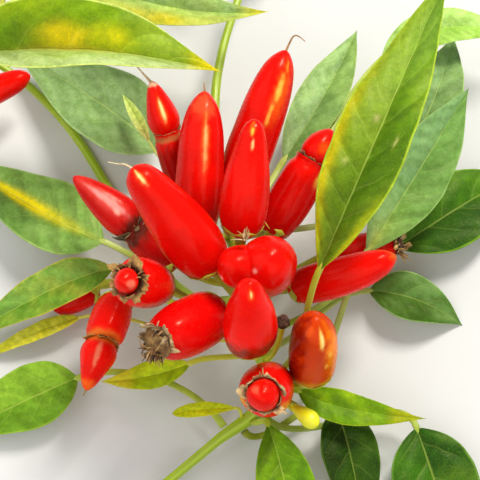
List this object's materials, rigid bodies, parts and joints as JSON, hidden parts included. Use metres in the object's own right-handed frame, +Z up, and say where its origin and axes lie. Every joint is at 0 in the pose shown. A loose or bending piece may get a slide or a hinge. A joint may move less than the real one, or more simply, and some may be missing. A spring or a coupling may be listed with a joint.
{
  "type": "cut chilli pepper branch",
  "caption": "Branch cut from a chilli pepper plant and lying flat: glossy red upright fruits crowded on short stalks, long pointed leaves, a thin green stem, a side shoot and a flower bud.",
  "frame": {"origin": "middle of the branch seen from above, at the level of the surface that it lies on", "axes": "+Z up, square to the surface it lies on; +Y away from the cut end, along the main stem; +X across, to the right seen from the cut end"},
  "size_m": [0.1646, 0.205, 0.064],
  "materials": {
    "stem": "satin",
    "fruit": "glossy",
    "leaf": "satin",
    "bud": "satin"
  },
  "bodies": {
    "root": {"stem_main": "stem", "shoot_left": "stem", "fruit_long_back": "fruit", "stalk_long_back": "stem", "fruit_long_front": "fruit", "stalk_long_front": "stem", "fruit_big_blunt": "fruit", "stalk_big_blunt": "stem", "fruit_slim_left": "fruit", "stalk_slim_left": "stem", "fruit_ringed_small": "fruit", "stalk_ringed_small": "stem", "fruit_ringed_dark": "fruit", "stalk_ringed_dark": "stem", "fruit_ringed_left": "fruit", "stalk_ringed_left": "stem", "fruit_end_on_left": "fruit", "stalk_end_on_left": "stem", "fruit_ringed_low_left": "fruit", "stalk_ringed_low_left": "stem", "fruit_scabbed_left": "fruit", "stalk_scabbed_left": "stem", "fruit_two_lobed": "fruit", "stalk_two_lobed": "stem", "fruit_upright": "fruit", "stalk_upright": "stem", "fruit_orange": "fruit", "stalk_orange": "stem", "fruit_long_right": "fruit", "stalk_long_right": "stem", "fruit_scabbed_right": "fruit", "stalk_scabbed_right": "stem", "fruit_ringed_low": "fruit", "stalk_ringed_low": "stem", "fruit_small_left": "fruit", "fruit_far_left": "fruit", "flower_bud": "bud", "leaf_big_right": "leaf", "leaf_grey_right": "leaf", "leaf_back_right": "leaf", "leaf_lime_right": "leaf", "leaf_top_left": "leaf", "leaf_top_middle": "leaf", "leaf_low_left": "leaf", "leaf_left": "leaf", "leaf_left_back": "leaf", "leaf_narrow": "leaf", "leaf_back_middle": "leaf", "leaf_low_right": "leaf", "leaf_dark_right": "leaf", "leaf_bright_right": "leaf", "leaf_bottom": "leaf", "leaf_yellow": "leaf", "leaf_low_yellow": "leaf", "leaf_yellow_left": "leaf", "leaf_bottom_left": "leaf", "leaf_hooked": "leaf", "leaf_bottom_dark": "leaf", "leaf_young_one": "leaf", "leaf_young_two": "leaf"}
  },
  "joints": []
}
